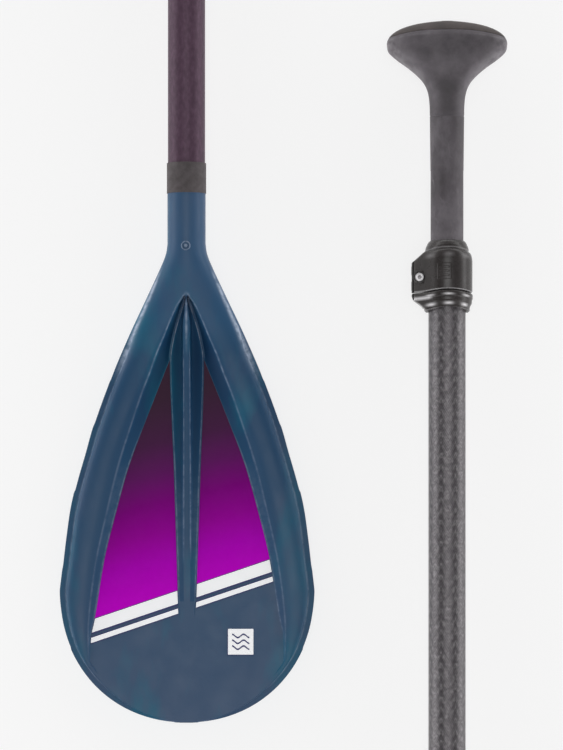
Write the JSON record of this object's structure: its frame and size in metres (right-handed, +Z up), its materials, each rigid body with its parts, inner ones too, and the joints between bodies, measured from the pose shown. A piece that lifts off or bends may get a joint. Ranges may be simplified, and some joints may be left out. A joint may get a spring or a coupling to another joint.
{
  "type": "single blade paddle",
  "caption": "Take-apart single blade paddle for stand-up boards: moulded blade, joining spigot with lock button, and a sliding palm-grip shaft held by a cam clamp.",
  "frame": {"origin": "centre of the laid-out paddle's footprint, on the floor that it lies on", "axes": "+Y along both shafts, from the blade and the middle tube's end towards the shoulder of the lower shaft; +X from the blade section to the grip section; +Z up from the floor, out of the blade's decorated face"},
  "size_m": [0.3564, 1.2488, 0.0443],
  "materials": {
    "blade_nylon": "satin moulded nylon",
    "purple_film": "satin printed film, dark at the throat",
    "white_film": "satin printed film",
    "band_rubber": "matte",
    "purple_tube": "satin lacquer",
    "foam": "closed-cell",
    "spigot_tube": "anodised",
    "black_plastic": "satin",
    "clamp_plastic": "glossy moulded",
    "steel": "stainless",
    "carbon_tube": "carbon twill under satin lacquer",
    "stem_tube": "matte mottled carbon",
    "grip_foam": "matte soft touch",
    "bush_plastic": "acetal"
  },
  "bodies": {
    "blade_section": {"blade": "blade_nylon", "panel_film_left": "purple_film", "panel_film_right": "purple_film", "stripe_films": "white_film", "badge": "white_film", "seam_band": "band_rubber", "lower_shaft": "purple_tube", "shaft_plug": "foam", "spigot": "spigot_tube", "spigot_cap": "black_plastic", "spring_clip": "steel"},
    "lock_button": {"lock_button": "steel"},
    "grip_section": {"upper_tube": "stem_tube", "stem_sleeve": "stem_tube", "glide_bush": "bush_plastic", "tube_plug": "foam", "palm_grip": "grip_foam", "grip_cap": "grip_foam"},
    "middle_section": {"middle_tube": "carbon_tube", "clamp_collar": "clamp_plastic", "skirt_ring": "clamp_plastic", "grip_liner": "black_plastic", "tension_bolt": "steel", "bolt_washer": "steel", "barrel_nut": "steel", "cam_plate": "steel"},
    "cam_lever": {"cam_lever": "clamp_plastic"}
  },
  "joints": [
    {"name": "button_press", "type": "slide", "parent": "blade_section", "child": "lock_button", "axis": [0, 0, -1], "range_m": [0, 0.003], "stiffness_N_per_m": 600, "springref_m": -0.002, "deforming": ["spring_clip"]},
    {"name": "section_carry", "type": "slide", "parent": "blade_section", "child": "grip_section", "axis": [-0.1327, 0.9912, 0], "range_m": [0, 1.55789]},
    {"name": "length_adjust", "type": "slide", "parent": "grip_section", "child": "middle_section", "axis": [0, -1, 0], "range_m": [0, 0.4]},
    {"name": "lever_swing", "type": "hinge", "parent": "middle_section", "child": "cam_lever", "pos_m": [0.10795, -0.0073, 0.00687], "axis": [0, 1, 0], "range_deg": [0, 175]}
  ]
}
